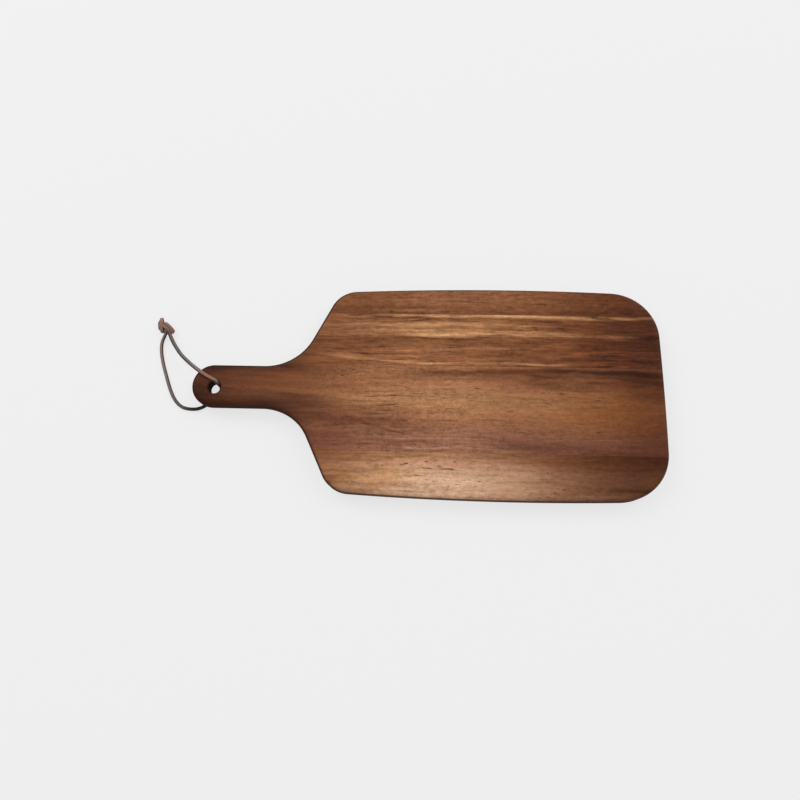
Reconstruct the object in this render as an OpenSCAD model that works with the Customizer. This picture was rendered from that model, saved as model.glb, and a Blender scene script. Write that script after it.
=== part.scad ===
// Paddle-shaped chopping board of edge-glued wooden staves, with a knotted hanging lace
// through the end of its handle. Millimetres. The board lies flat, X runs from the handle
// to the far end, Z is up, and the origin is at the middle of the board's underside.

/* [Blade] */
// Length of the board from the end of the handle to the far end
board_l = 390; // [340:5:440]
// Width of the blade at its widest point
blade_w = 180; // [160:2:210]
// Thickness of the blade
blade_t = 15; // [12:0.5:20]
// Distance of the blade's widest point from the far end
widest_in = 135; // [110:5:150]
// Radius of the slightly bowed long sides
side_r = 2410; // [1500:10:4000]
// Radius of the slightly bowed far end
end_r = 2440; // [1500:10:4000]
// Radius of the two far corners
corner_r = 40; // [25:1:55]
// Radius of the two shoulders beside the neck
shoulder_r = 24; // [12:1:30]
// Radius of the rounded edges above and below
edge_r = 3.5; // [1.5:0.25:4]

/* [Handle] */
// Width of the handle, which ends in a half circle
handle_w = 36; // [32:1:42]
// Length of the handle from its end to the start of the neck's curve
handle_l = 60; // [50:1:72]
// Radius of the hollow curve of the neck
neck_r = 44; // [32:1:56]
// Angle at which the neck's curve runs out to the shoulder
flare = 64; // [52:1:72]
// Depth by which the handle's underside is cut back
relief = 3.2; // [2.9:0.1:4]
// Length of the flat part of the cut-back, from the end of the handle
relief_l = 85; // [70:1:95]
// Length of the curve from the cut-back down to the blade's underside
relief_run = 35; // [20:1:45]

/* [Hanging hole] */
// Diameter of the hole
hole_d = 11; // [10.6:0.2:14]
// Distance of the hole's centre from the end of the handle
hole_in = 19.5; // [17:0.5:28]
// Offset of the hole's centre from the middle of the handle
hole_offset = -2; // [-4:0.5:4]
// Width of the bevel around both mouths of the hole
hole_bevel = 0.8; // [0.4:0.1:1.4]

/* [Staves] */
// Distance of the back edge joint from the board's middle line
edge_joint = 66; // [52:1:74]
// Distance of the joint between handle stave and back stave from the middle line
back_joint = 20; // [19:0.5:40]
// Distance of the joint between handle stave and front stave from the middle line
front_joint = 53; // [36:1:72]
// Thickness of the glue in each joint
glue_t = 0.2; // [0.1:0.05:0.5]

/* [Lace] */
// Diameter of the lace
lace_d = 2.6; // [2:0.1:2.6]
// Gap between the lace and the handle's upper face
lace_gap = 0.3; // [0.2:0.05:0.6]
// Largest diameter of the knot
knot_d = 8; // [7:0.25:9]
// Diameter of the knot at its two ends
knot_end_d = 5; // [4:0.25:6]
// Length of the knot
knot_l = 13; // [11:0.5:15]

/* [Hidden] */

// Flat steps in each stretch of the outline and in each rounded edge
handle_steps = 8;
neck_steps = 10;
shoulder_steps = 8;
side_steps = 4;
corner_steps = 10;
end_steps = 2;
edge_steps = 4;
// Sides of the lace's tube
lace_sides = 8;
// Smoothness of the bored hole and the knot
bore_fn = 64;
// Length by which cutting solids pass the faces that they cut
past = 1;

// Ends and undersides of the board
handle_x = -board_l / 2;
far_x = board_l / 2;
flat_x = handle_x + relief_l;
run_r = (relief_run * relief_run + relief * relief) / (2 * relief);

// Centres of the outline's arcs, for the half of the board at +Y
handle_r = handle_w / 2;
handle_c = [handle_x + handle_r, 0];
neck_c = [handle_x + handle_l, handle_r + neck_r];
side_c = [far_x - widest_in, blade_w / 2 - side_r];
end_c = [far_x - end_r, 0];
corner_c = meet(side_c, side_r - corner_r, end_c, end_r - corner_r);
flare_dir = [cos(flare), sin(flare)];
flare_c = neck_c + (neck_r + shoulder_r) * [sin(flare), -cos(flare)];
shoulder_c = flare_c + reach(flare_c - side_c, flare_dir, side_r - shoulder_r) * flare_dir;

// Directions in which neighbouring arcs touch
shoulder_a = heading(shoulder_c - side_c);
corner_a = heading(corner_c - side_c);
end_a = heading(corner_c - end_c);

// Centre of the hole, where the lace's points are measured from
hole_c = [handle_x + hole_in, hole_offset, 0];
hole_r = hole_d / 2;

// Heights of the lace's middle on the handle and on the surface below the board
lace_r = lace_d / 2;
over_z = blade_t + lace_gap + lace_r;
floor_z = lace_r;

// Route of the strand that comes up through the hole and over the handle to the knot
front_route = [
    [2.7, 2.8, 9], [2.7, 2.8, 11.4], [2.6, 2.9, 13.6], [2.3, 3.4, 15.7], [1.2, 4.9, over_z - 0.1],
    [-1, 6.2, over_z], [-4.6, 8, over_z], [-8.4, 10.1, over_z], [-12, 12.4, over_z],
    [-16, 15.2, over_z - 0.4], [-21, 18.9, 14.6], [-27, 23.8, 12], [-32, 28.2, 9.4], [-36, 32.2, 7.2],
    [-40, 37, 5.2], [-43.8, 42, 4], [-46.8, 47, 3.6], [-49.3, 51.8, 3.8]
];
// Route of the strand that goes down through the hole, under the handle and round to the knot
back_route = [
    [2.7, 2.8, 9], [2.7, 2.8, 6.5], [2.5, 2, 4], [1.9, 0.6, 1.9], [0, -2, floor_z],
    [-4.6, -7.2, floor_z], [-9, -11.8, floor_z], [-13.1, -14.5, floor_z], [-17.4, -15.9, floor_z],
    [-21.8, -16.2, floor_z], [-26.4, -15.7, floor_z], [-30.8, -14.2, floor_z], [-34.9, -11.1, floor_z],
    [-38.5, -6.7, floor_z], [-41.4, -1.7, floor_z], [-43.9, 3.6, floor_z], [-46.2, 9.2, floor_z],
    [-48.4, 14.8, floor_z], [-50.6, 20.4, floor_z], [-52.7, 26.6, floor_z], [-54.5, 33, floor_z],
    [-55.5, 39.4, 1.4], [-55.2, 44.6, 1.8], [-53.6, 48.8, 2.6], [-51.9, 52.6, 3.6]
];
// Routes of the lace's two ends beyond the knot, one on the other
front_end_route = [[-54.9, 60.7, 5.2], [-56.1, 61.8, 5.5], [-56.8, 63.2, 5.4], [-57.3, 64.8, 4.9]];
back_end_route = [
    [-55.2, 57.8, 3.6], [-57.4, 57.8, 3.5], [-58.7, 59, 3.5], [-59.1, 60.6, 3.3], [-59, 62.2, 2.9],
    [-58.8, 63.6, 2.4]
];
// Middle of the knot and the direction that it lies in
knot_c = [-51.2, 56.6, knot_d / 2];
knot_turn = 140;

// Direction of a flat vector in degrees
function heading(v) = atan2(v.y, v.x);

// Vector of length one
function unit(v) = v / norm(v);

// Upper right meeting point of two circles
function meet(c1, r1, c2, r2) =
    let (gap = norm(c2 - c1), along = unit(c2 - c1), near = (r1 * r1 - r2 * r2 + gap * gap) / (2 * gap))
    c1 + near * along + sqrt(r1 * r1 - near * near) * [along.y, -along.x];

// Distance along a direction at which a point that starts at an offset is a radius from the origin
function reach(offset, direction, radius) =
    let (ahead = offset * direction)
    sqrt(ahead * ahead - offset * offset + radius * radius) - ahead;

// Points on an arc
function arc(c, r, a0, a1, steps) =
    [for (i = [0:steps]) let (a = a0 + (a1 - a0) * i / steps) c + r * [cos(a), sin(a)]];

// List without its first entry
function rest(list) = [for (i = [1:len(list) - 1]) list[i]];

// Half of the outline at +Y, from the end of the handle to the far end, moved inwards
function half_outline(inset) = concat(
    arc(handle_c, handle_r - inset, 180, 90, handle_steps),
    arc(neck_c, neck_r + inset, -90, flare - 90, neck_steps),
    arc(shoulder_c, shoulder_r - inset, flare + 90, shoulder_a, shoulder_steps),
    rest(arc(side_c, side_r - inset, shoulder_a, 90, side_steps)),
    rest(arc(side_c, side_r - inset, 90, corner_a, side_steps)),
    rest(arc(corner_c, corner_r - inset, corner_a, end_a, corner_steps)),
    rest(arc(end_c, end_r - inset, end_a, 0, end_steps))
);

// Whole outline, moved inwards
function outline(inset) =
    let (half = half_outline(inset))
    concat(half, [for (i = [len(half) - 2:-1:1]) [half[i].x, -half[i].y]]);

// Height of the underside, which is cut back below the handle
function underside(x) =
    x <= flat_x ? relief :
    x >= flat_x + relief_run ? 0 :
    relief - run_r + sqrt(run_r * run_r - (x - flat_x) * (x - flat_x));

// Inset and depth of the rounded edge at each of its steps, from the flat face to the side
edge_profile = [
    for (i = [0:edge_steps]) let (a = 90 * i / edge_steps) edge_r * [1 - sin(a), 1 - cos(a)]
];

// Rings of points down the side of the board
function upper_ring(step) = [for (p = outline(step[0])) [p.x, p.y, blade_t - step[1]]];
function lower_ring(step) = [for (p = outline(step[0])) [p.x, p.y, underside(p.x) + step[1]]];

// The whole board before it is parted into staves
module board() {
    rings = concat(
        [for (i = [0:edge_steps]) upper_ring(edge_profile[i])],
        [for (i = [edge_steps:-1:0]) lower_ring(edge_profile[i])]
    );
    count = len(rings[0]);
    last = len(rings) - 1;
    bands = [
        for (k = [0:last - 1], i = [0:count - 1])
            let (j = (i + 1) % count, top = k * count, low = top + count)
            [top + j, top + i, low + i, low + j]
    ];
    strips = [
        for (i = [0:count / 2 - 1]) let (j = i + 1, across_i = (count - i) % count, across_j = count - j)
            i == 0 ? [i, j, across_j] :
            j == across_j ? [i, j, across_i] :
            [i, j, across_j, across_i]
    ];
    lower_strips = [for (strip = strips) [for (i = [len(strip) - 1:-1:0]) strip[i] + last * count]];
    polyhedron([for (ring = rings) each ring], concat(strips, bands, lower_strips));
}

// The part of the board between two lines along its length
module slice(low_y, high_y) {
    intersection() {
        board();
        translate([handle_x - past, low_y, -past])
            cube([board_l + 2 * past, high_y - low_y, blade_t + 2 * past]);
    }
}

// Glue in the joint at one line along the board
module glue_line(y) {
    slice(y - glue_t / 2, y + glue_t / 2);
}

// Cutting solid of the hanging hole with a bevel at each mouth
module hole() {
    flared_r = hole_r + hole_bevel + past;
    translate(hole_c) {
        translate([0, 0, -past])
            cylinder(r = hole_r, h = blade_t + 2 * past, $fn = bore_fn);
        translate([0, 0, blade_t - hole_bevel])
            cylinder(r1 = hole_r, r2 = flared_r, h = hole_bevel + past, $fn = bore_fn);
        translate([0, 0, relief - past])
            cylinder(r1 = flared_r, r2 = hole_r, h = hole_bevel + past, $fn = bore_fn);
    }
}

// Sideways direction carried along the lace so that its tube doesn't twist
function carry(side, along) = unit(side - (side * along) * along);

// Tube of the lace along a route measured from the hole
module lace_tube(route) {
    ends = len(route) - 1;
    along = [for (i = [0:ends]) unit(route[min(i + 1, ends)] - route[max(i - 1, 0)])];
    across = [
        for (i = 0, side = carry([1, 1, 1], along[0]); i <= ends;
            i = i + 1, side = carry(side, along[min(i, ends)])) side
    ];
    points = [
        for (i = [0:ends], j = [0:lace_sides - 1]) let (a = 360 * j / lace_sides)
            hole_c + route[i] + lace_r * (cos(a) * across[i] + sin(a) * cross(along[i], across[i]))
    ];
    walls = [
        for (i = [0:ends - 1], j = [0:lace_sides - 1])
            let (k = (j + 1) % lace_sides, here = i * lace_sides, next = here + lace_sides)
            [here + j, next + j, next + k, here + k]
    ];
    first_cap = [for (j = [0:lace_sides - 1]) j];
    last_cap = [for (j = [lace_sides - 1:-1:0]) ends * lace_sides + j];
    polyhedron(points, concat([first_cap], walls, [last_cap]));
}

module back_edge_stave() {
    color("#7a4a2b") slice(edge_joint + glue_t / 2, blade_w / 2 + past);
}

module back_stave() {
    color("#8f5f38") slice(back_joint + glue_t / 2, edge_joint - glue_t / 2);
}

module handle_stave() {
    color("#74432a")
        difference() {
            slice(-front_joint + glue_t / 2, back_joint - glue_t / 2);
            hole();
        }
}

module front_stave() {
    color("#83533a") slice(-blade_w / 2 - past, -front_joint - glue_t / 2);
}

module back_edge_glue_line() {
    color("#4a2c1a") glue_line(edge_joint);
}

module back_glue_line() {
    color("#4a2c1a") glue_line(back_joint);
}

module front_glue_line() {
    color("#4a2c1a") glue_line(-front_joint);
}

module lace_front_strand() {
    color("#5a4640") lace_tube(front_route);
}

module lace_back_strand() {
    color("#5a4640") lace_tube(back_route);
}

// Outer shape of the knot, a barrel lying on its side
module lace_knot() {
    drop = (knot_d - knot_end_d) / 2;
    bow_r = (knot_l * knot_l / 4 + drop * drop) / (2 * drop);
    color("#6b4636")
        translate(hole_c + knot_c)
            rotate([0, 90, knot_turn])
                rotate_extrude($fn = bore_fn)
                    intersection() {
                        translate([knot_d / 2 - bow_r, 0]) circle(r = bow_r, $fn = 2 * bore_fn);
                        translate([0, -knot_l / 2]) square([knot_d, knot_l]);
                    }
}

module lace_front_end() {
    color("#7d5650") lace_tube(front_end_route);
}

module lace_back_end() {
    color("#7d5650") lace_tube(back_end_route);
}

back_edge_stave();
back_stave();
handle_stave();
front_stave();
back_edge_glue_line();
back_glue_line();
front_glue_line();
lace_front_strand();
lace_back_strand();
lace_knot();
lace_front_end();
lace_back_end();
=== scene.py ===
# Paddle-shaped chopping board with a knotted hanging lace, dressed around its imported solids.
# Lengths of the shapes are in millimetres, and each mesh is written in metres.
import math
import bmesh
import bpy
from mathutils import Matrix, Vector


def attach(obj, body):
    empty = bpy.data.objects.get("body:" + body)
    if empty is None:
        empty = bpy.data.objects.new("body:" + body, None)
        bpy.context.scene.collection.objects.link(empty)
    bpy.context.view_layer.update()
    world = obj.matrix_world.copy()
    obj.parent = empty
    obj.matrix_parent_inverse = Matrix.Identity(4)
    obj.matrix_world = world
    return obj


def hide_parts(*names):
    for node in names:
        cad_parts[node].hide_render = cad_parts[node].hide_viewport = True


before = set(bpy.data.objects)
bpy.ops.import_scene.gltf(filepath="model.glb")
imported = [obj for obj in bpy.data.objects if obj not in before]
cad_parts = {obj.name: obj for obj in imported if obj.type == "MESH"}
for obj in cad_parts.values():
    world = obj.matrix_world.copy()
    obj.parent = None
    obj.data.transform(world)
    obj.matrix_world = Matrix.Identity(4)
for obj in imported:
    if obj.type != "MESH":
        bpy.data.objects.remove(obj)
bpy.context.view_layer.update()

MM = 0.001
UP = Vector((0, 0, 1))

# The board, as in the part's source
BOARD_L, BLADE_W, BLADE_T = 390, 180, 15
WIDEST_IN, SIDE_R, END_R = 135, 2410, 2440
CORNER_R, SHOULDER_R, EDGE_R = 40, 24, 3.5
HANDLE_W, HANDLE_L, NECK_R, FLARE = 36, 60, 44, 64
RELIEF, RELIEF_L, RELIEF_RUN = 3.2, 85, 35
HOLE_D, HOLE_IN, HOLE_OFFSET, HOLE_BEVEL = 11, 19.5, -2, 0.8
EDGE_JOINT, BACK_JOINT, FRONT_JOINT, GLUE_T = 66, 20, -53, 0.2
HANDLE_X, FAR_X = -BOARD_L / 2, BOARD_L / 2
FLAT_X = HANDLE_X + RELIEF_L
RUN_R = (RELIEF_RUN ** 2 + RELIEF ** 2) / (2 * RELIEF)
HOLE = Vector((HANDLE_X + HOLE_IN, HOLE_OFFSET, 0))

# Steps in the curves of the dressed board
ARC_STEPS, SIDE_STEPS, FLARE_STEPS, END_STEPS = 24, 12, 8, 4
EDGE_STEPS, HOLE_STEPS = 8, 96
# Width of the flat band between the rounded edge and the rest of a face, and a length past a cut
FLAT_BAND, PAST = 1.5, 2
# Distances within which points are joined
BOARD_WELD, HOLE_WELD = 1e-5, 1e-4
# Angles in degrees above which an edge stays sharp, on most pieces and on the knot
SHARP, KNOT_SHARP = 35, 60

# The lace is a strip with rounded edges; its routes follow the source's, measured from the hole
FRONT_W, BACK_W, LACE_T, LACE_ROUND = 3.2, 2.8, 2.25, 0.85
LACE_STEPS, CORNER_STEPS = 5, 4
OVER_Z, FLOOR_Z = 16.6, 1.3
FRONT_ROUTE = [
    (2.7, 2.8, 9), (2.7, 2.8, 11.4), (2.6, 2.9, 13.6), (2.3, 3.4, 15.7), (1.2, 4.9, OVER_Z - 0.1),
    (-1, 6.2, OVER_Z), (-4.6, 8, OVER_Z), (-8.4, 10.1, OVER_Z), (-12, 12.4, OVER_Z),
    (-16, 15.2, OVER_Z - 0.4), (-21, 18.9, 14.6), (-27, 23.8, 12), (-32, 28.2, 9.4), (-36, 32.2, 7.2),
    (-40, 37, 5.2), (-43.8, 42, 4), (-46.8, 47, 3.6), (-49.3, 51.8, 3.8),
]
BACK_ROUTE = [
    (2.7, 2.8, 9), (2.7, 2.8, 6.5), (2.5, 2, 4), (1.9, 0.6, 1.9), (0, -2, FLOOR_Z),
    (-4.6, -7.2, FLOOR_Z), (-9, -11.8, FLOOR_Z), (-13.1, -14.5, FLOOR_Z), (-17.4, -15.9, FLOOR_Z),
    (-21.8, -16.2, FLOOR_Z), (-26.4, -15.7, FLOOR_Z), (-30.8, -14.2, FLOOR_Z), (-34.9, -11.1, FLOOR_Z),
    (-38.5, -6.7, FLOOR_Z), (-41.4, -1.7, FLOOR_Z), (-43.9, 3.6, FLOOR_Z), (-46.2, 9.2, FLOOR_Z),
    (-48.4, 14.8, FLOOR_Z), (-50.6, 20.4, FLOOR_Z), (-52.7, 26.6, FLOOR_Z), (-54.5, 33, FLOOR_Z),
    (-55.5, 39.4, 1.4), (-55.2, 44.6, 1.8), (-53.6, 48.8, 2.6), (-51.9, 52.6, 3.6),
]
# Beyond the knot both ends are folded upward, and then repeat the last points of the source's ends
FRONT_END_ROUTE = [
    (-54.2, 57.6, 1.5), (-55.4, 54.4, 1.4), (-55.9, 53.2, 2.5), (-56.1, 54.4, 3.9),
    (-56.1, 58, 5.1), (-56.1, 61.8, 5.5), (-56.8, 63.2, 5.4), (-57.3, 64.8, 4.9),
]
BACK_END_ROUTE = [
    (-56.2, 58.4, 1.4), (-57.4, 56.6, 1.3), (-58, 55.8, 2.2), (-58.4, 56.8, 3.3),
    (-58.7, 59, 3.5), (-59.1, 60.6, 3.3), (-59, 62.2, 2.9), (-58.8, 63.6, 2.4),
]
# Size of the section at the first and last point of a whole strand and of a cut end
WHOLE, CUT_END = (1, 1), (1, 0.85)
# Where the strands come out of the hole
# Directions of the strip's wide face, by the number of the route's point
IN_HOLE = (0.7, 0.71, 0)
FRONT_FACES = {
    0: IN_HOLE, 2: IN_HOLE, 4: (0.5, 0.55, 0.67), 5: (0.3, 0.33, 0.9), 8: (0.3, 0.33, 0.9),
    10: (0.47, 0.5, 0.73), 12: (0.52, 0.48, 0.7), 17: (0.6, 0.56, 0.56),
}
BACK_FACES = {
    0: IN_HOLE, 1: IN_HOLE, 2: (0.75, 0.4, -0.5), 3: (0.3, 0.3, -0.9), 4: (0, 0, -1),
    14: (0.25, -0.1, -1), 24: (0.3, -0.3, -0.9),
}
FOLD_FACES = {
    0: (0, 0, -1), 1: (0, -0.4, -0.9), 2: (0, -1, 0), 3: (-0.1, -0.4, 0.9), 4: (-0.1, -0.1, 1),
    7: (-0.1, 0.2, 1),
}
# Wear of the leather along each route: 0 is dark and new, 1 is pale and rubbed; the dark stretch of the
# back strand under and beside the handle is painted shadow
FRONT_WEAR = {0: 0.7, 4: 0.76, 6: 0.86, 7: 0.86, 8: 0.74, 10: 0.6, 13: 0.5, 17: 0.55}
# The back strand's low values, where it runs under and beside the handle's end, are painted shadow
BACK_WEAR_AND_SHADOW = {0: 0.7, 4: 0.1, 8: 0, 9: 0.12, 11: 0.4, 13: 0.5, 18: 0.68, 21: 0.7, 24: 0.55}
FRONT_END_WEAR = {0: 0.4, 3: 0.75, 5: 0.95, 7: 0.85}
BACK_END_WEAR = {0: 0.4, 3: 0.75, 5: 0.85, 7: 0.8}
STRAP_WEAR = {0: 0.7, 3: 0.85, 5: 0.8, 8: 0.75}
LOW_STRAP_WEAR = {0: 0.75, 2: 0.74, 4: 0.76, 6: 0.88, 8: 0.78}
CORE_WEAR = {0: 0.55, 3: 0.3}

# Middle of the knot, and the direction in degrees that it lies in
KNOT, KNOT_TURN = Vector((-51.2, 56.6, 0)), 140
# Places in the knot, as length along it, length across it and height
KNOT_MIDDLE = (-0.8, 0, 3)
FRONT_CORE = [(-2.6, 0.8, 3.7), (0.4, -0.2, 3.4), (3, -0.6, 2.8)]
BACK_CORE = [(0.4, 2.2, 3.6), (0.8, 0, 3.4), (1, -2, 2.6)]
# Points of a strap as length along the knot and height, and the share of its place across it there
STRAP = [
    (4.2, 1.3), (5.4, 2.2), (4.6, 4.2), (2, 5.9), (-1.2, 6.5), (-3.8, 5.8), (-5.1, 4.2), (-5.5, 2.5),
    (-4.4, 1.3),
]
STRAP_PINCH = [0.7, 0.75, 0.9, 1, 1, 0.9, 0.7, 0.5, 0.4]
STRAP_LEAN = 0.12
# Straps: place across the knot, share of the full height, and wear
STRAPS = [(-1.55, 0.9, LOW_STRAP_WEAR), (0.75, 1, STRAP_WEAR)]

# The camera that took the photograph: place in metres, turns in degrees, lens and sensor in mm
CAMERA_AT = (0.00706, -0.15088, 0.51799)
CAMERA_TURN = (15.685, 2.5, 1.872)
CAMERA_LENS, SENSOR = 28.72, 36

# The floor and the light, in metres and watts
FLOOR_GREY, FLOOR_MATT, STAGE_GLOW = 0.87, 0.9, 0.82
FLOOR_HALF, FLOOR_AT = 2.5, -0.0002
SKY = 0.56
# Soft boxes: name, place, size and power; each faces the board
LAMPS = [("left_box", (-1.5, 1.3, 1.7), 1.5, 28), ("right_box", (1.6, 1.2, 1.6), 1.5, 19)]


def paint(r, g, b):
    """Linear colour from the usual 0 to 255 numbers."""
    def linear(v):
        v /= 255
        return v / 12.92 if v <= 0.04045 else ((v + 0.055) / 1.055) ** 2.4
    return (linear(r), linear(g), linear(b), 1)


# Tones of the wood, and the painted shade of its walls and rounded edges, with growth rings
CREAM = paint(236, 205, 178)
STRAW = paint(222, 172, 122)
GOLD = paint(200, 140, 84)
AMBER = paint(168, 108, 58)
ROSE = paint(168, 122, 98)
# Pale tone near the front edge, partly the wood's own and partly a painted sheen
PALE_AND_SHEEN = paint(208, 166, 134)
SAND = paint(192, 145, 113)
TAN = paint(172, 122, 84)
HONEY = paint(160, 108, 74)
CHESTNUT = paint(141, 91, 59)
BROWN = paint(126, 79, 50)
UMBER = paint(102, 61, 39)
COCOA = paint(80, 45, 31)
MAUVE = paint(146, 98, 76)
PLUM = paint(114, 70, 53)
WHEAT = paint(188, 139, 97)
WINE = paint(88, 46, 37)
RIM_SHADE = paint(34, 18, 13)
RIM_SHADE_RING = paint(62, 35, 26)

# Noises of the grain: scale along it and across it, detail, and how often the seed's shift is added
WAVE, FIGURE, CROWD = (0.014, 0.05, 2, 1), (0.014, 0.16, 3, 1), (0.02, 0.06, 2, 1)
BREAKS, BRIGHT, DARK = (0.03, 0.2, 2, 2), (0.02, 0.3, 3, 3), (0.025, 0.38, 3, 4)
FIBRE, MOTTLE, SPECK = (0.07, 0.55, 2, 5), (0.2, 0.33, 3, 6), (0.6, 0.8, 1, 7)
FLECK, FUZZ = (0.13, 0.8, 1, 8), (0.05, 0.9, 2, 9)
GRAIN_ROUGH, NOISE_MIDDLE = 0.6, 0.5
# Shift of a seed along each axis
SEED_SHIFT = (1, 1.7, 0.3)
# How far the grain waves across the board, and the tones along it
WAVE_HEIGHT, RUN_SHIFT = 7, 50
# Soft steps: first and last value, and the results there, if not 0 and 1 or given by the look
BREAK_STEP, CROWD_STEP, FLECK_STEP = (0.3, 0.6, 0.45, 1.1), (0.4, 0.62, 0.15, 1), (0.64, 0.74)
BRIGHT_STEP, DARK_STEP = (0.5, 0.68, 0), (0.52, 0.7, 0)
HANDLE_CALM, FAR_CALM = (-40, -110, 1, 0.45), (10, 80, 1)
# Painted shade on the handle's two sides, as on a rounded handle: middle, half width, depth, and the soft
# step along the board
BOW_Y, BOW_HALF, BOW_DEPTH, BOW_STEP = 1, 18, 0.42, (-85, -140)
# Painted shade on the walls and rounded edges: weight of a turn toward +X and toward +Y, soft step, cover,
# and growth rings
RIM_SHADE_LEAN_X, RIM_SHADE_LEAN_Y, RIM_SHADE_STEP, RIM_SHADE_COVER = 0.45, -0.3, (0.93, 0.5), 0.88
RING_SCALE, RING_DETAIL, RING_ROUGH = (0.03, 0.6, 0.1), 3, 0.65
RIM_SHADE_RING_TONES = [(0.35, RIM_SHADE), (0.62, RIM_SHADE_RING)]
# Where the factors along the board are darker, partly from painted falloff of light, they are also redder:
# powers for green and blue
GREEN_FALL, BLUE_FALL = 1.3, 1.5
# Roughness of the wood and what the rim and the figure add; gloss; strength and depth of the bump
WOOD_MATT, RIM_MATT, FIGURE_MATT = 0.3, 0.4, 0.2
WOOD_GLOSS, WOOD_BUMP = 0.07, (0.3, 0.0002)

# How strong each noise is on a stave
PLAIN_LOOK = dict(bright=0.15, dark=0.3, figure=0.7, fibre=0.7, mottle=1.2, speck=0.5, pores=0.7, far=1)
BACK_LOOK = dict(bright=0.6, dark=0.5, figure=0.7, fibre=1.2, mottle=0.9, speck=0.5, pores=0.8, far=1)
HANDLE_LOOK = dict(bright=0.2, dark=0.3, figure=0.8, fibre=0.6, mottle=1.1, speck=0.7, pores=0.8, far=0.7)
FRONT_LOOK = dict(bright=0.15, dark=0.25, figure=0.6, fibre=0.7, mottle=1, speck=0.5, pores=0.8, far=0.8)

# Tones by y across each stave, and factors by x along it, which are partly the wood's own tone and partly a
# painted falloff of light from the middle toward both ends
BACK_EDGE_TONES = [(62, BROWN), (68, BROWN), (76, CHESTNUT), (94, CHESTNUT)]
BACK_EDGE_TONE_AND_LIGHT_FALLOFF = [
    (-90, 0.74), (-45, 0.84), (0, 1), (40, 1), (75, 0.95), (105, 0.78), (135, 0.58), (167, 0.43),
    (190, 0.36),
]
BACK_TONES = [(16, CHESTNUT), (27, CHESTNUT), (36, CHESTNUT), (41, BROWN), (46, CHESTNUT), (70, BROWN)]
BACK_TONE_AND_LIGHT_FALLOFF = [
    (-115, 0.62), (-85, 0.74), (-55, 0.86), (0, 1.05), (45, 0.95), (100, 0.76), (135, 0.53), (167, 0.36),
    (190, 0.3),
]
HANDLE_TONES = [
    (-57, HONEY), (-50, MAUVE), (-40, MAUVE), (-26, HONEY), (-10, TAN), (4, HONEY), (12, HONEY),
    (24, HONEY),
]
HANDLE_TONE_AND_LIGHT_FALLOFF = [
    (-194, 0.16), (-178, 0.27), (-158, 0.38), (-125, 0.48), (-100, 0.58), (-72, 0.7), (-45, 0.9), (0, 1.02),
    (30, 1.02), (75, 0.86), (120, 0.76), (150, 0.6), (172, 0.44), (192, 0.36),
]
# The pale band near the front edge is partly a painted sheen
FRONT_TONES = [(-94, SAND), (-84, PALE_AND_SHEEN), (-72, PALE_AND_SHEEN), (-64, SAND), (-58, TAN), (-49, HONEY)]
FRONT_TONE_AND_LIGHT_FALLOFF = [
    (-95, 0.44), (-60, 0.66), (-30, 0.92), (0, 1.05), (35, 0.98), (75, 0.74), (105, 0.45), (135, 0.27),
    (170, 0.17), (190, 0.16),
]
GLUE_TONE_AND_LIGHT_FALLOFF = [(-100, 0.6), (0, 1), (60, 0.9), (110, 0.65), (150, 0.4), (190, 0.3)]

# Streaks: y at the middle, slope, half width, first and last x, fade, tone, strength
BACK_EDGE_STREAKS = [
    (71, 0, 2.4, -80, 180, 20, UMBER, 0.15),
    (81, 0, 1.2, -30, 40, 15, UMBER, 0.4),
    (69, 0, 3, -40, 10, 12, TAN, 0.5),
]
BACK_STREAKS = [
    (53, 0, 11, -100, 75, 60, TAN, 0.85),
    (55.5, -0.004, 3.2, -30, 70, 30, WHEAT, 0.75),
    (50.5, 0.01, 1.4, -60, 90, 25, WHEAT, 0.7),
    (47.5, 0.002, 2.6, -15, 168, 20, WHEAT, 0.95),
    (48, 0, 1.6, 152, 172, 5, SAND, 0.9),
    (64.6, 0, 3.6, 20, 195, 30, WHEAT, 0.95),
    (64, 0, 2.4, -75, 30, 15, WHEAT, 0.7),
    (64.4, 0, 2.4, 50, 200, 25, STRAW, 0.8),
    (58.5, 0, 2.2, -24, 8, 8, BROWN, 0.6),
    (51, 0, 2.4, 78, 115, 10, WHEAT, 0.8),
    (45.5, 0, 2, 68, 84, 6, BROWN, 0.6),
    (61.5, 0, 1.1, -95, 60, 20, BROWN, 0.8),
    (58.6, 0.006, 0.8, -60, 40, 15, BROWN, 0.8),
    (53.2, 0, 0.8, 10, 40, 8, UMBER, 0.9),
    (52, 0, 1, -90, 110, 20, BROWN, 0.6),
    (43.5, 0, 1.6, -95, 190, 20, UMBER, 0.6),
    (30, 0, 7, 25, 140, 30, BROWN, 0.6),
    (35, 0, 2.2, -30, 60, 25, HONEY, 0.55),
    (31, 0, 1.4, -60, 20, 20, UMBER, 0.5),
    (27, 0, 4, 90, 220, 30, UMBER, 0.4),
    (36, 0, 3, 100, 220, 30, UMBER, 0.5),
    (22.6, -0.08, 2.8, -95, -5, 20, TAN, 0.9),
    (22.6, 0, 2.2, -5, 110, 25, TAN, 0.9),
]
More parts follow.
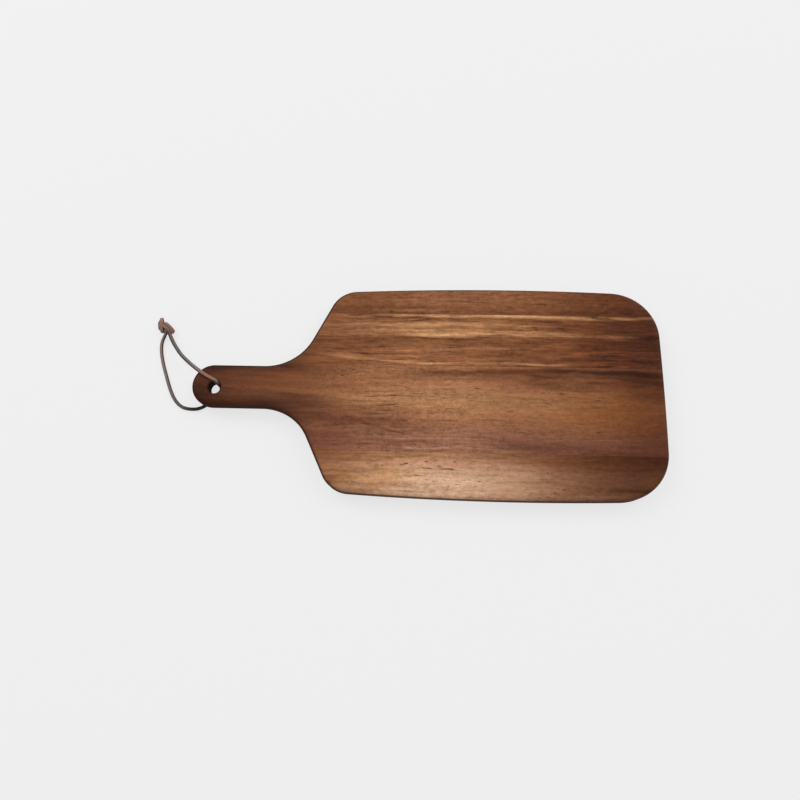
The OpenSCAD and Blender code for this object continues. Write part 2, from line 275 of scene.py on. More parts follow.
HANDLE_STREAKS = [
    (-15, 0, 34, 112, 185, 20, AMBER, 0.6),
    (10, 0, 10, -40, 75, 25, BROWN, 0.2),
    (12, -0.02, 11, 60, 230, 40, UMBER, 0.85),
    (15.2, 0, 5.6, -2, 95, 18, UMBER, 0.95),
    (20.2, -0.031, 4.8, 95, 230, 20, UMBER, 0.95),
    (16, 0, 6.5, -220, -100, 25, WINE, 0.75),
    (6, -0.02, 6, 90, 142, 18, UMBER, 0.5),
    (-3, 0, 7, 165, 230, 14, UMBER, 0.55),
    (19, -0.024, 2.8, 100, 230, 30, COCOA, 0.9),
    (-9, 0, 8, -70, 0, 25, TAN, 0.5),
    (-8.5, -0.03, 1, -50, -38, 4, UMBER, 1),
    (-12.5, 0.08, 0.9, -38, -22, 4, UMBER, 1),
    (-6.2, 0, 0.9, -30, -20, 3, UMBER, 1),
    (-16, -0.03, 13, -220, -150, 20, WINE, 0.6),
    (-17.5, -0.03, 12, -150, -78, 20, WINE, 0.6),
    (-29, -0.07, 12, -130, 5, 25, PLUM, 0.75),
    (-41, -0.085, 13, 65, 230, 30, PLUM, 0.75),
    (-30, 0.03, 1.4, -70, -10, 12, UMBER, 0.6),
    (-45.5, 0, 1.3, -95, -45, 12, UMBER, 0.6),
    (-41, 0, 6, -100, -50, 15, PLUM, 0.45),
    (-41.2, -0.217, 2, -52, -14, 6, UMBER, 0.7),
    (-8, 0, 5, -118, -92, 8, UMBER, 0.4),
    (9, 0, 3.5, 36, 56, 8, BROWN, 0.5),
    (-44.5, 0, 3, -28, 8, 8, PLUM, 0.6),
    (11, 0, 5, -15, 70, 20, BROWN, 0.4),
    (-50.5, 0, 2.5, 15, 80, 15, SAND, 0.35),
    (-49.8, 0, 1.5, -14, 20, 6, SAND, 0.95),
    (-42, -0.01, 1.2, -30, 45, 15, SAND, 0.4),
]
FRONT_STREAKS = [
    (-58, 0, 8, 10, 115, 20, ROSE, 0.6),
    (-55, 0, 6, 50, 85, 25, PLUM, 0.5),
    (-53.5, 0, 5.5, 100, 162, 20, TAN, 0.8),
    (-78, 0, 12, -110, -35, 20, WHEAT, 0.75),
    (-72, 0, 16, -110, -10, 20, GOLD, 0.5),
    (-66.3, 0, 1, -1, 8, 2, UMBER, 1),
    (-66.1, 0, 0.9, 16, 25, 2, UMBER, 1),
    (-62, 0, 1, -70, -20, 15, CHESTNUT, 0.5),
    (-88.8, 0.026, 2.4, 118, 158, 12, CREAM, 0.9),
    (-80, 0, 3.5, 145, 195, 10, UMBER, 0.5),
    (-80, 0, 8, -110, -70, 6, BROWN, 0.6),
    (-78, 0, 4, -62, -44, 5, PALE_AND_SHEEN, 0.5),
    (-77, 0, 5, -38, -20, 8, TAN, 0.4),
]
# Staves in their order: name, tones, factors along it of tone and painted falloff of light, streaks, tilt
# of the grain, seed, look
WOODS = [
    ("back_edge_wood", BACK_EDGE_TONES, BACK_EDGE_TONE_AND_LIGHT_FALLOFF, BACK_EDGE_STREAKS, 0.5, 3.1, PLAIN_LOOK),
    ("back_wood", BACK_TONES, BACK_TONE_AND_LIGHT_FALLOFF, BACK_STREAKS, -0.35, 11.7, BACK_LOOK),
    ("handle_wood", HANDLE_TONES, HANDLE_TONE_AND_LIGHT_FALLOFF, HANDLE_STREAKS, 0.7, 23.9, HANDLE_LOOK),
    ("front_wood", FRONT_TONES, FRONT_TONE_AND_LIGHT_FALLOFF, FRONT_STREAKS, -0.6, 37.3, FRONT_LOOK),
]

# Glue: scales and detail of its noise, tones, and factor and base of its roughness
GLUE_SCALE, GLUE_DETAIL = (0.06, 0.9, 0.9), 3
GLUE_TONES, GLUE_MATT = [(0.3, UMBER), (0.7, BROWN)], (0.2, 0.4)

# Leather from dark and new to pale and rubbed; the dark end also serves as painted shadow under the handle
LACE_TONES = [
    (0, paint(24, 17, 14)), (0.25, paint(66, 52, 49)), (0.5, paint(104, 93, 90)),
    (0.7, paint(126, 108, 98)), (0.85, paint(140, 98, 84)), (1, paint(158, 118, 106)),
]
# Scales per metre and detail of its patches and its fine grain, and the wear of a patch
PATCH_SCALE, FINE_SCALE, LACE_DETAIL, PATCH_WEAR = 300, 2600, 3, 0.3
# Soft step to the painted shade on the narrow edges; factor and base of the grain's shade and roughness;
# gloss and bump
EDGE_SHADE_STEP, FINE_SHADE, LACE_MATT = (0.25, 0.8, 1, 0.28), (0.6, 0.7), (0.2, 0.5)
LACE_GLOSS, LACE_BUMP = 0.2, (0.4, 0.00015)


def make_camera():
    data = bpy.data.cameras.new("camera")
    data.lens = CAMERA_LENS
    data.sensor_width = SENSOR
    camera = bpy.data.objects.new("camera", data)
    camera.location = CAMERA_AT
    camera.rotation_euler = [math.radians(a) for a in CAMERA_TURN]
    bpy.context.scene.collection.objects.link(camera)
    bpy.context.scene.camera = camera


def new_mesh(name, bm):
    """Mesh in metres from a finished bmesh in millimetres."""
    bmesh.ops.recalc_face_normals(bm, faces=bm.faces)
    bmesh.ops.scale(bm, vec=(MM, MM, MM), verts=bm.verts)
    mesh = bpy.data.meshes.new(name)
    bm.to_mesh(mesh)
    bm.free()
    return mesh


def new_piece(name, bm, body, node, sharp=SHARP):
    """Make a piece from a finished bmesh, and say what it rides on and replaces."""
    mesh = new_mesh(name, bm)
    mesh.shade_smooth()
    mesh.set_sharp_from_angle(angle=math.radians(sharp))
    piece = bpy.data.objects.new(name, mesh)
    bpy.context.scene.collection.objects.link(piece)
    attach(piece, body)
    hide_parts(node)
    return piece


# Lace

def smooth_points(points, steps):
    """Points of a smooth curve through the given ones."""
    points = [Vector(p) for p in points]
    padded = [2 * points[0] - points[1], *points, 2 * points[-1] - points[-2]]
    curve = []
    for i in range(1, len(padded) - 2):
        a, b, c, d = padded[i - 1:i + 3]
        for k in range(steps):
            t = k / steps
            curve.append(0.5 * (
                2 * b + (c - a) * t + (2 * a - 5 * b + 4 * c - d) * t ** 2
                + (3 * b - a - 3 * c + d) * t ** 3
            ))
    return curve + [points[-1]]


def lace_section(width):
    """Rounded rectangle with the share of each point that belongs to the narrow edges."""
    section = []
    for quarter, (sx, sy) in enumerate(((1, 1), (-1, 1), (-1, -1), (1, -1))):
        for k in range(CORNER_STEPS + 1):
            a = math.radians(90 * (quarter + k / CORNER_STEPS))
            x = sx * (width / 2 - LACE_ROUND) + LACE_ROUND * math.cos(a)
            y = sy * (LACE_T / 2 - LACE_ROUND) + LACE_ROUND * math.sin(a)
            section.append((x, y, abs(math.cos(a)) ** 2))
    return section


def sweep(bm, path, faces_up, wear_and_shade, section, tips=WHOLE):
    """Sweep a section along a path; faces_up is the direction of the wide face at each point."""
    layers = bm.verts.layers.float
    edge_layer = layers.get("edge") or layers.new("edge")
    wear_and_shade_layer = layers.get("wear_and_shade") or layers.new("wear_and_shade")
    rings = []
    last = len(path) - 1
    for i, point in enumerate(path):
        along = (path[min(i + 1, last)] - path[max(i - 1, 0)]).normalized()
        face = faces_up[i] - faces_up[i].dot(along) * along
        face.normalize()
        across = along.cross(face)
        size = tips[0] if i == 0 else tips[1] if i == last else 1
        ring = []
        for x, y, edge in section:
            vert = bm.verts.new(HOLE + point + size * (x * across + y * face))
            vert[edge_layer] = edge
            vert[wear_and_shade_layer] = wear_and_shade[i]
            ring.append(vert)
        rings.append(ring)
    count = len(section)
    for low, high in zip(rings, rings[1:]):
        for j in range(count):
            k = (j + 1) % count
            bm.faces.new((low[j], low[k], high[k], high[j]))
    bm.faces.new(rings[0][::-1])
    bm.faces.new(rings[-1])


def spread(marks, count):
    """Values along a smoothed route, from those given by the number of some of its points."""
    values = []
    for i in range((count - 1) * LACE_STEPS + 1):
        at = i / LACE_STEPS
        low = max(m for m in marks if m <= at)
        high = min((m for m in marks if m >= at), default=low)
        share = (at - low) / (high - low) if high > low else 0
        values.append(marks[low] * (1 - share) + marks[high] * share)
    return values


def lace_piece(name, node, route, faces, wear_and_shade, width, tips=WHOLE):
    """A stretch of lace along one of the routes, and its middle line in metres."""
    count = len(route)
    path = smooth_points(route, LACE_STEPS)
    turns = spread({at: Vector(face) for at, face in faces.items()}, count)
    bm = bmesh.new()
    sweep(bm, path, turns, spread(wear_and_shade, count), lace_section(width), tips)
    piece = new_piece(name, bm, "lace", node)
    return piece, [(HOLE + p) * MM for p in path]


def knot_point(a, s, z):
    """Point of the knot from lengths along and across it and its height."""
    turn = math.radians(KNOT_TURN)
    along = Vector((math.cos(turn), math.sin(turn), 0))
    return KNOT + a * along + s * UP.cross(along) + z * UP


def make_knot():
    """Both strands run in under two straps, which are the same strip wound round them."""
    bm = bmesh.new()
    section = lace_section(FRONT_W)
    for strand, core in ((FRONT_ROUTE, FRONT_CORE), (BACK_ROUTE, BACK_CORE)):
        route = [Vector(strand[-1])] + [knot_point(*place) for place in core]
        path = smooth_points(route, LACE_STEPS)
        sweep(bm, path, [UP] * len(path), spread(CORE_WEAR, len(route)), section)
    middle = knot_point(*KNOT_MIDDLE)
    for side, height, wear_and_shade in STRAPS:
        route = [knot_point(a, side * k, z * height) for (a, z), k in zip(STRAP, STRAP_PINCH)]
        path = smooth_points(route, LACE_STEPS)
        lean = knot_point(0, side * STRAP_LEAN, 0) - KNOT
        faces = [(p - middle).normalized() + lean for p in path]
        sweep(bm, path, faces, spread(wear_and_shade, len(route)), section)
    return new_piece("knot", bm, "lace", "lace_knot", KNOT_SHARP)


def make_lace():
    front, front_path = lace_piece(
        "front_strand", "lace_front_strand", FRONT_ROUTE, FRONT_FACES, FRONT_WEAR, FRONT_W)
    back, back_path = lace_piece(
        "back_strand", "lace_back_strand", BACK_ROUTE, BACK_FACES, BACK_WEAR_AND_SHADOW, BACK_W)
    front_end, _ = lace_piece(
        "front_tail", "lace_front_end", FRONT_END_ROUTE, FOLD_FACES, FRONT_END_WEAR, FRONT_W, CUT_END)
    back_end, _ = lace_piece(
        "back_tail", "lace_back_end", BACK_END_ROUTE, FOLD_FACES, BACK_END_WEAR, FRONT_W, CUT_END)
    knot = make_knot()
    return [front, back, front_end, back_end, knot]


# Board

def arc(centre, radius, start, end, steps):
    points = []
    for i in range(steps + 1):
        a = math.radians(start + (end - start) * i / steps)
        points.append((centre[0] + radius * math.cos(a), centre[1] + radius * math.sin(a)))
    return points


def heading(v):
    return math.degrees(math.atan2(v.y, v.x))


def arc_centres():
    """Centres of the outline's arcs at +Y, each of which touches its neighbours."""
    handle_r = HANDLE_W / 2
    handle = Vector((HANDLE_X + handle_r, 0))
    neck = Vector((HANDLE_X + HANDLE_L, handle_r + NECK_R))
    side = Vector((FAR_X - WIDEST_IN, BLADE_W / 2 - SIDE_R))
    end = Vector((FAR_X - END_R, 0))
    side_in, end_in = SIDE_R - CORNER_R, END_R - CORNER_R
    gap = (end - side).length
    to_end = (end - side).normalized()
    near = (side_in ** 2 - end_in ** 2 + gap ** 2) / (2 * gap)
    corner = side + near * to_end + math.sqrt(side_in ** 2 - near ** 2) * Vector((to_end.y, -to_end.x))
    flare = math.radians(FLARE)
    flare_dir = Vector((math.cos(flare), math.sin(flare)))
    start = neck + (NECK_R + SHOULDER_R) * Vector((math.sin(flare), -math.cos(flare)))
    offset = start - side
    ahead = offset.dot(flare_dir)
    run = math.sqrt(ahead ** 2 - offset.dot(offset) + (SIDE_R - SHOULDER_R) ** 2) - ahead
    shoulder = start + run * flare_dir
    return handle, neck, shoulder, side, corner, end


CENTRES = arc_centres()


def half_outline(inset):
    """Points of the outline at +Y from the handle's end to the far end, moved inward."""
    handle, neck, shoulder, side, corner, end = CENTRES
    shoulder_a, corner_a, end_a = heading(shoulder - side), heading(corner - side), heading(corner - end)
    nose = arc(handle, HANDLE_W / 2 - inset, 180, 90, ARC_STEPS)
    hollow = arc(neck, NECK_R + inset, -90, FLARE - 90, ARC_STEPS)
    bulge = arc(shoulder, SHOULDER_R - inset, FLARE + 90, shoulder_a, ARC_STEPS)
    (x0, y0), (x1, y1) = hollow[-1], bulge[0]
    shares = [i / FLARE_STEPS for i in range(1, FLARE_STEPS)]
    flare = [(x0 + (x1 - x0) * share, y0 + (y1 - y0) * share) for share in shares]
    return (
        nose + hollow + flare + bulge
        + arc(side, SIDE_R - inset, shoulder_a, 90, SIDE_STEPS)[1:]
        + arc(side, SIDE_R - inset, 90, corner_a, SIDE_STEPS)[1:]
        + arc(corner, CORNER_R - inset, corner_a, end_a, ARC_STEPS)[1:]
        + arc(end, END_R - inset, end_a, 0, END_STEPS)[1:]
    )


def outline(inset):
    half = half_outline(inset)
    return half + [(x, -y) for x, y in half[-2:0:-1]]


def underside(x):
    """Height of the underside, which is cut back below the handle."""
    if x <= FLAT_X:
        return RELIEF
    if x >= FLAT_X + RELIEF_RUN:
        return 0
    return RELIEF - RUN_R + math.sqrt(RUN_R ** 2 - (x - FLAT_X) ** 2)


def board_bmesh():
    """The whole board before it is parted into staves, with rounded edges above and below."""
    quarter = [math.radians(90 * i / EDGE_STEPS) for i in range(EDGE_STEPS + 1)]
    profile = [(EDGE_R * (1 - math.sin(a)), EDGE_R * (1 - math.cos(a))) for a in quarter]
    profile.insert(0, (EDGE_R + FLAT_BAND, 0))
    bm = bmesh.new()
    upper = [[(x, y, BLADE_T - down) for x, y in outline(inset)] for inset, down in profile]
    lower = [[(x, y, underside(x) + up) for x, y in outline(inset)] for inset, up in profile]
    rings = [[bm.verts.new(p) for p in ring] for ring in upper + lower[::-1]]
    count = len(rings[0])
    for high, low in zip(rings, rings[1:]):
        for i in range(count):
            j = (i + 1) % count
            bm.faces.new((high[j], high[i], low[i], low[j]))
    for ring in (rings[0], rings[-1]):
        for i in range(count // 2):
            strip = [ring[i], ring[i + 1], ring[count - i - 1], ring[(count - i) % count]]
            bm.faces.new(list(dict.fromkeys(strip)))
    bmesh.ops.remove_doubles(bm, verts=bm.verts, dist=BOARD_WELD)
    return bm


def cut(bm, y, keep_above):
    """Cut the board along its length, keep one side and close the cut."""
    sign = 1 if keep_above else -1
    geometry = bm.verts[:] + bm.edges[:] + bm.faces[:]
    bmesh.ops.bisect_plane(bm, geom=geometry, plane_co=(0, y, 0), plane_no=(0, sign, 0), clear_inner=True)
    bmesh.ops.edgeloop_fill(bm, edges=[e for e in bm.edges if e.is_boundary])


def board_piece(name, node, low_y=None, high_y=None):
    """The stretch of the board between two cuts, or from one cut to its edge."""
    bm = board_bmesh()
    if low_y is not None:
        cut(bm, low_y, True)
    if high_y is not None:
        cut(bm, high_y, False)
    return new_piece(name, bm, "board", node)


def hole_cutter():
    """Turned solid of the hanging hole with a bevel at each mouth."""
    r = HOLE_D / 2
    flared = r + HOLE_BEVEL + PAST
    profile = [
        (0, RELIEF - PAST), (flared, RELIEF - PAST), (r, RELIEF + HOLE_BEVEL),
        (r, BLADE_T - HOLE_BEVEL), (flared, BLADE_T + PAST), (0, BLADE_T + PAST),
    ]
    bm = bmesh.new()
    verts = [bm.verts.new(HOLE + Vector((x, 0, z))) for x, z in profile]
    edges = [bm.edges.new(pair) for pair in zip(verts, verts[1:])]
    bmesh.ops.spin(bm, geom=verts + edges, cent=HOLE, axis=UP, angle=2 * math.pi, steps=HOLE_STEPS)
    bmesh.ops.remove_doubles(bm, verts=bm.verts, dist=HOLE_WELD)
    cutter = bpy.data.objects.new("hole_cutter", new_mesh("hole_cutter", bm))
    bpy.context.scene.collection.objects.link(cutter)
    return cutter


def bore_hole(stave):
    """Cut the hanging hole into a stave's mesh."""
    cutter = hole_cutter()
    modifier = stave.modifiers.new("hole", "BOOLEAN")
    modifier.operation = "DIFFERENCE"
    modifier.solver = "EXACT"
    modifier.object = cutter
    bpy.context.view_layer.update()
    graph = bpy.context.evaluated_depsgraph_get()
    bored = bpy.data.meshes.new_from_object(stave.evaluated_get(graph))
    stave.modifiers.clear()
    plain = stave.data
    stave.data = bored
    bpy.data.meshes.remove(plain)
    bored.shade_smooth()
    bored.set_sharp_from_angle(angle=math.radians(SHARP))
    bpy.data.objects.remove(cutter)


def make_board():
    """Four staves and the films of glue between them."""
    half = GLUE_T / 2
    back_edge = board_piece(
        "back_edge_board", "back_edge_stave", low_y=EDGE_JOINT + half)
    back = board_piece(
        "back_board", "back_stave", BACK_JOINT + half, EDGE_JOINT - half)
    handle = board_piece(
        "handle_board", "handle_stave", FRONT_JOINT + half, BACK_JOINT - half)
    front = board_piece(
        "front_board", "front_stave", high_y=FRONT_JOINT - half)
    bore_hole(handle)
    films = []
    for name, y in (("back_edge", EDGE_JOINT), ("back", BACK_JOINT), ("front", FRONT_JOINT)):
        films.append(board_piece(f"{name}_film", f"{name}_glue_line", y - half, y + half))
    return [back_edge, back, handle, front], films


# Materials

class Graph:
    """Shader nodes of one material, added by short calls."""

    def __init__(self, name):
        self.material = bpy.data.materials.new(name)
        self.material.use_nodes = True
        self.tree = self.material.node_tree
        self.shader = self.tree.nodes["Principled BSDF"]

    def node(self, kind, **settings):
        made = self.tree.nodes.new("ShaderNode" + kind)
        for key, value in settings.items():
            setattr(made, key, value)
        return made

    def feed(self, socket, value):
        if isinstance(value, bpy.types.NodeSocket):
            self.tree.links.new(value, socket)
        else:
            socket.default_value = value

    def feed_all(self, sockets, values):
        for socket, value in zip(sockets, values):
            self.feed(socket, value)

    def math(self, operation, *values):
        made = self.node("Math", operation=operation)
        self.feed_all(made.inputs, values)
        return made.outputs[0]

    def stretch(self, vector, scales, shift=(0, 0, 0)):
        made = self.node("VectorMath", operation="MULTIPLY_ADD")
        self.feed_all(made.inputs, (vector, scales, shift))
        return made.outputs[0]

    def scale(self, colour, amount):
        made = self.node("VectorMath", operation="SCALE")
        self.feed(made.inputs[0], colour)
        self.feed(made.inputs["Scale"], amount)
        return made.outputs[0]

    def split(self, vector):
        made = self.node("SeparateXYZ")
        self.feed(made.inputs[0], vector)
        return made.outputs[:3]

    def join(self, x, y, z):
        made = self.node("CombineXYZ")
        self.feed_all(made.inputs, (x, y, z))
        return made.outputs[0]

    def blend(self, factor, under, over, kind="MIX"):
        made = self.node("Mix", data_type="RGBA", blend_type=kind)
        for index, value in zip((0, 6, 7), (factor, under, over)):
            self.feed(made.inputs[index], value)
        return made.outputs[2]

    def rise(self, value, start, end, low=0, high=1):
        """Soft step from one result to another between two values."""
        made = self.node("MapRange", interpolation_type="SMOOTHSTEP")
        self.feed_all(made.inputs, (value, start, end, low, high))
        return made.outputs[0]

    def share(self, value, start, end):
        """Straight run from 0 to 1 between two values."""
        made = self.node("MapRange")
        self.feed_all(made.inputs, (value, start, end))
        return made.outputs[0]

    def noise(self, vector, detail, roughness=0.55):
        made = self.node("TexNoise")
        names = ("Vector", "Scale", "Detail", "Roughness")
        self.feed_all([made.inputs[name] for name in names], (vector, 1, detail, roughness))
        return made.outputs[0]

    def ramp(self, value, stops):
        made = self.node("ValToRGB")
        elements = made.color_ramp.elements
        while len(elements) < len(stops):
            elements.new(1)
        for element, (place, colour) in zip(elements, stops):
            element.position = place
            element.color = colour
        self.feed(made.inputs[0], value)
        return made.outputs[0]

    def bump(self, height, strength, distance):
        made = self.node("Bump")
        names = ("Strength", "Distance", "Height")
        self.feed_all([made.inputs[name] for name in names], (strength, distance, height))
        self.feed(self.shader.inputs["Normal"], made.outputs[0])


def in_mm(g, coords):
    return g.stretch(coords.outputs["Object"], (1 / MM,) * 3)


def along_tone_and_light_falloff(tone_and_light_falloff):
    """Ramp stops along the board, partly the wood's tone and partly a painted falloff of light; where
    darker they are also redder.
    """
    stops = []
    for at, factor in tone_and_light_falloff:
        tone = (factor, factor ** GREEN_FALL, factor ** BLUE_FALL, 1)
        stops.append(((at - HANDLE_X) / BOARD_L, tone))
    return stops


def rim_shade_share(g, coords):
    """One on the walls and the outer part of the rounded edges, where shade is painted; walls facing +Y get
    more of it and walls facing +X less.
    """
    nx, ny, nz = g.split(coords.outputs["Normal"])
    lean = g.math("MULTIPLY_ADD", ny, RIM_SHADE_LEAN_Y, g.math("ABSOLUTE", nz))
    lean = g.math("MULTIPLY_ADD", nx, RIM_SHADE_LEAN_X, lean)
    return g.rise(lean, *RIM_SHADE_STEP)


def layer(g, grain, shift, noise):
    """One of the noises of the grain, stretched along it."""
    along, across, detail, turn = noise
    return g.noise(g.stretch(grain, (along, across, across), shift * turn), detail, GRAIN_ROUGH)


def wood_grain(g, coords, tilt, shift):
    """Places in the wood: x and y, the level across the waving grain, and the grain's own point."""
    x, y, z = g.split(in_mm(g, coords))
    level = g.math("MULTIPLY_ADD", g.math("SUBTRACT", z, BLADE_T), tilt, y)
    wave = layer(g, g.join(x, level, z), shift, WAVE)
    level = g.math("ADD", level, g.math("MULTIPLY_ADD", wave, WAVE_HEIGHT, -WAVE_HEIGHT / 2))
    return x, y, level, g.join(x, level, z)


def streak(g, x, level, breaks, colour, row):
    """Lay one streak of the grain over a colour: a soft broken line with soft ends."""
    y0, slope, half, start, end, fade, tone, strength = row
    centre = g.math("MULTIPLY_ADD", x, slope, y0)
    off = g.math("ABSOLUTE", g.math("SUBTRACT", level, centre))
    across = g.rise(off, half, 0, 0, strength)
    ends = g.math("MULTIPLY", g.rise(x, start - fade, start + fade), g.rise(x, end + fade, end - fade))
    cover = g.math("MULTIPLY", across, g.math("MULTIPLY", ends, breaks))
    return g.blend(cover, colour, tone)


def band_tones(g, level, tones):
    """Colours across a stave."""
    low, high = tones[0][0], tones[-1][0]
    stops = [((at - low) / (high - low), tone) for at, tone in tones]
    return g.ramp(g.share(level, low, high), stops)


def grain_light(g, x, grain, shift, figure, look):
    """Factor of the fine light and dark lines, which are calmer on the handle and at the far end."""
    bright = g.rise(layer(g, grain, shift, BRIGHT), *BRIGHT_STEP, look["bright"])
    dark = g.rise(layer(g, grain, shift, DARK), *DARK_STEP, look["dark"])
    light = g.math("ADD", g.math("SUBTRACT", bright, dark), 1)
    light = g.math("MULTIPLY_ADD", g.math("SUBTRACT", figure, NOISE_MIDDLE), look["figure"], light)
    for key, noise in (("fibre", FIBRE), ("mottle", MOTTLE), ("speck", SPECK)):
        swing = g.math("SUBTRACT", layer(g, grain, shift, noise), NOISE_MIDDLE)
        light = g.math("MULTIPLY_ADD", swing, look[key], light)
    calm = g.math("MULTIPLY", g.rise(x, *HANDLE_CALM), g.rise(x, *FAR_CALM, look["far"]))
    return g.math("MULTIPLY_ADD", g.math("SUBTRACT", light, 1), calm, 1)


def pores(g, grain, shift, amount):
    """Cover of the dark pores, which come in crowds."""
    crowd = g.rise(layer(g, grain, shift, CROWD), *CROWD_STEP)
    fleck = g.rise(layer(g, grain, shift, FLECK), *FLECK_STEP)
    return g.math("MULTIPLY", g.math("MULTIPLY", fleck, crowd), amount)


def handle_painted_shade(g, x, y):
    """Factor of painted shade that darkens the two sides of the handle."""
    off = g.math("MULTIPLY", g.math("SUBTRACT", y, BOW_Y), 1 / BOW_HALF)
    depth = g.math("MULTIPLY", g.math("POWER", off, 2), BOW_DEPTH)
    return g.math("SUBTRACT", 1, g.math("MULTIPLY", g.rise(x, *BOW_STEP), depth))


def wood(name, tones, tone_and_light_falloff, streaks, tilt, seed, look):
    """Oiled wood of one stave."""
    g = Graph(name)
    coords = g.node("TexCoord")
    shift = Vector([seed * part for part in SEED_SHIFT])
    x, y, level, grain = wood_grain(g, coords, tilt, shift)
    figure = layer(g, grain, shift, FIGURE)
    breaks = g.rise(layer(g, grain, shift, BREAKS), *BREAK_STEP)
    colour = band_tones(g, level, tones)
    for row in streaks:
        colour = streak(g, x, level, breaks, colour, row)
    run = g.math("MULTIPLY_ADD", figure, RUN_SHIFT, g.math("SUBTRACT", x, RUN_SHIFT / 2))
    # Factors along the board: partly the wood's tone, partly a painted falloff of light toward both ends
    along = g.ramp(g.share(run, HANDLE_X, FAR_X), along_tone_and_light_falloff(tone_and_light_falloff))
    colour = g.blend(1, colour, along, "MULTIPLY")
    colour = g.scale(colour, grain_light(g, x, grain, shift, figure, look))
    pore = pores(g, grain, shift, look["pores"])
    # Painted shade on the handle's sides is laid on here
    colour = g.scale(g.blend(pore, colour, COCOA), handle_painted_shade(g, x, y))
    # Painted shade on the walls and rounded edges, laid over the colour with growth rings in it
    rim_shade = rim_shade_share(g, coords)
    rings = g.noise(g.stretch(grain, RING_SCALE, shift), RING_DETAIL, RING_ROUGH)
    colour = g.blend(g.math("MULTIPLY", rim_shade, RIM_SHADE_COVER), colour, g.ramp(rings, RIM_SHADE_RING_TONES))
    g.feed(g.shader.inputs["Base Color"], colour)
    matt = g.math("MULTIPLY_ADD", rim_shade, RIM_MATT, WOOD_MATT)
    g.feed(g.shader.inputs["Roughness"], g.math("MULTIPLY_ADD", figure, FIGURE_MATT, matt))
    g.shader.inputs["Specular IOR Level"].default_value = WOOD_GLOSS
    g.bump(g.math("SUBTRACT", layer(g, grain, shift, FUZZ), pore), *WOOD_BUMP)
    return g.material


def glue(name):
    """Hardened glue, a thin brown line that is as dark as the wood on either side of it, with the wood's
    partly painted falloff of light along the board and painted shade on its walls.
    """
    g = Graph(name)
    coords = g.node("TexCoord")
    point = in_mm(g, coords)
    x = g.split(point)[0]
    patch = g.noise(g.stretch(point, GLUE_SCALE), GLUE_DETAIL)
    # Partly the glue's tone, partly a painted falloff of light along the board
    along = g.ramp(g.share(x, HANDLE_X, FAR_X), along_tone_and_light_falloff(GLUE_TONE_AND_LIGHT_FALLOFF))
    colour = g.blend(1, g.ramp(patch, GLUE_TONES), along, "MULTIPLY")
    # Painted shade on the walls, as on the wood
    cover = g.math("MULTIPLY", rim_shade_share(g, coords), RIM_SHADE_COVER)
    g.feed(g.shader.inputs["Base Color"], g.blend(cover, colour, RIM_SHADE))
    g.feed(g.shader.inputs["Roughness"], g.math("MULTIPLY_ADD", patch, *GLUE_MATT))
    g.shader.inputs["Specular IOR Level"].default_value = WOOD_GLOSS
    return g.material


def leather(name):
    """Lace leather with a fine grain and painted shade on its narrow edges, which leaves the wide faces
    paler.
    """
    g = Graph(name)
    place = g.node("TexCoord").outputs["Object"]
    edge = g.node("Attribute", attribute_name="edge").outputs["Fac"]
    wear_and_shade = g.node("Attribute", attribute_name="wear_and_shade").outputs["Fac"]
    patch = g.noise(g.stretch(place, (PATCH_SCALE,) * 3), LACE_DETAIL)
    fine = g.noise(g.stretch(place, (FINE_SCALE,) * 3), LACE_DETAIL)
    worn_and_shaded = g.math("MULTIPLY_ADD", g.math("SUBTRACT", patch, NOISE_MIDDLE), PATCH_WEAR, wear_and_shade)
    # Painted shade on the narrow edges, times the fine grain
    shade = g.math("MULTIPLY", g.rise(edge, *EDGE_SHADE_STEP), g.math("MULTIPLY_ADD", fine, *FINE_SHADE))
    g.feed(g.shader.inputs["Base Color"], g.scale(g.ramp(worn_and_shaded, LACE_TONES), shade))
    g.feed(g.shader.inputs["Roughness"], g.math("MULTIPLY_ADD", fine, *LACE_MATT))
    g.shader.inputs["Specular IOR Level"].default_value = LACE_GLOSS
    g.bump(fine, *LACE_BUMP)
    return g.material


def dress(pieces, material):
    for piece in pieces:
        piece.data.materials.clear()
        piece.data.materials.append(material)


# Stage

def grey(tone):
    return (tone, tone, tone, 1)


def seen_rays(tree):
    """One where a ray comes from the camera, a reflection or through glass."""
    path = tree.nodes.new("ShaderNodeLightPath")
    total = path.outputs["Is Camera Ray"]
    for name in ("Is Glossy Ray", "Is Transmission Ray"):
        made = tree.nodes.new("ShaderNodeMath")
        made.operation = "MAXIMUM"
        tree.links.new(total, made.inputs[0])
        tree.links.new(path.outputs[name], made.inputs[1])
        total = made.outputs[0]
    return total


def mix_shaders(tree, factor, first, second, output):
    mix = tree.nodes.new("ShaderNodeMixShader")
    for socket, value in zip(mix.inputs, (factor, first.outputs[0], second.outputs[0])):
        tree.links.new(value, socket)
    tree.links.new(mix.outputs[0], tree.nodes[output].inputs[0])


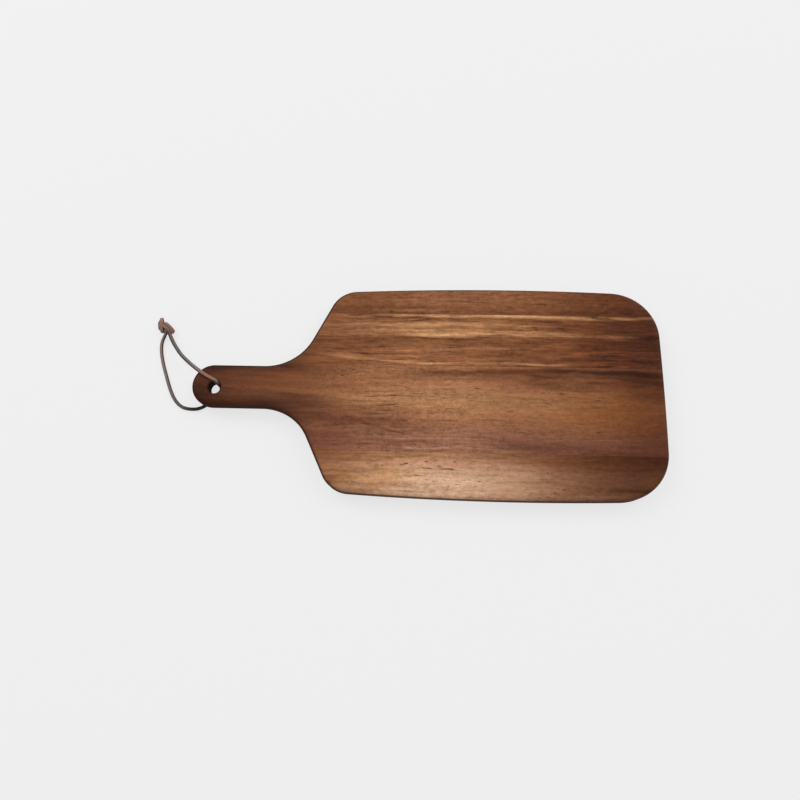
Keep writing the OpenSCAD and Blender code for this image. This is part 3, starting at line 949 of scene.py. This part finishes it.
def floor_material():
    """Pale matt floor with a glow of its own, so that only a faint shadow stays."""
    material = bpy.data.materials.new("floor")
    material.use_nodes = True
    tree = material.node_tree
    matt = tree.nodes["Principled BSDF"]
    matt.inputs["Base Color"].default_value = grey(FLOOR_GREY)
    matt.inputs["Roughness"].default_value = FLOOR_MATT
    matt.inputs["Specular IOR Level"].default_value = 0
    glow = tree.nodes.new("ShaderNodeEmission")
    glow.inputs["Color"].default_value = grey(FLOOR_GREY)
    share = tree.nodes.new("ShaderNodeMath")
    share.operation = "MULTIPLY"
    tree.links.new(seen_rays(tree), share.inputs[0])
    share.inputs[1].default_value = STAGE_GLOW
    mix_shaders(tree, share.outputs[0], matt, glow, "Material Output")
    return material


def make_floor():
    h = FLOOR_HALF
    corners = [(x, y, FLOOR_AT) for x, y in ((-h, -h), (h, -h), (h, h), (-h, h))]
    mesh = bpy.data.meshes.new("floor")
    mesh.from_pydata(corners, [], [(0, 1, 2, 3)])
    floor = bpy.data.objects.new("floor", mesh)
    bpy.context.scene.collection.objects.link(floor)
    mesh.materials.append(floor_material())


def make_world():
    """Even white sky, seen by the camera in the floor's grey."""
    world = bpy.data.worlds.new("studio")
    bpy.context.scene.world = world
    world.use_nodes = True
    tree = world.node_tree
    sky = tree.nodes["Background"]
    sky.inputs["Color"].default_value = grey(1)
    sky.inputs["Strength"].default_value = SKY
    backdrop = tree.nodes.new("ShaderNodeBackground")
    backdrop.inputs["Color"].default_value = grey(FLOOR_GREY)
    path = tree.nodes.new("ShaderNodeLightPath")
    mix_shaders(tree, path.outputs["Is Camera Ray"], sky, backdrop, "World Output")


def make_lamps():
    for name, place, size, power in LAMPS:
        lamp = bpy.data.lights.new(name, "AREA")
        lamp.energy = power
        lamp.size = size
        box = bpy.data.objects.new(name, lamp)
        box.location = place
        box.rotation_euler = Vector(place).to_track_quat("Z", "Y").to_euler()
        bpy.context.scene.collection.objects.link(box)


make_camera()
lace = make_lace()
staves, films = make_board()
dress(lace, leather("lace_leather"))
dress(films, glue("glue"))
for stave, row in zip(staves, WOODS):
    dress([stave], wood(*row))
make_floor()
make_world()
make_lamps()
bpy.context.scene.view_settings.view_transform = "Standard"
